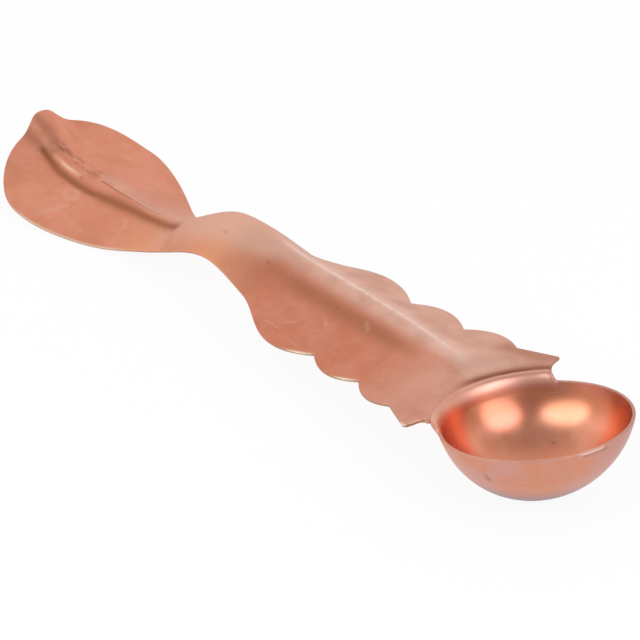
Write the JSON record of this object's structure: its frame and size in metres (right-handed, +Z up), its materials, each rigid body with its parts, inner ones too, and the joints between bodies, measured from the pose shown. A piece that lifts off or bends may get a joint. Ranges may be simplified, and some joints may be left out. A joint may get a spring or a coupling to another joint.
{
  "type": "ritual spoon",
  "caption": "Copper ritual spoon: round drawn bowl brazed to a scalloped, ridged sheet handle that narrows to a neck and ends in an upturned cobra hood with a raised rib.",
  "frame": {"origin": "middle of the box of the spoon as it lies, on the surface that it lies on", "axes": "+X from the bowl along the handle to the hood, +Z up, +Y to the left when looking from the bowl to the hood"},
  "size_m": [0.165, 0.0332, 0.0152],
  "materials": {
    "bowl_copper": "polished inside, satin outside",
    "handle_copper": "satin, hand rubbed",
    "braze": "satin"
  },
  "bodies": {
    "root": {"bowl": "bowl_copper", "handle": "handle_copper", "braze_seam": "braze"}
  },
  "joints": []
}
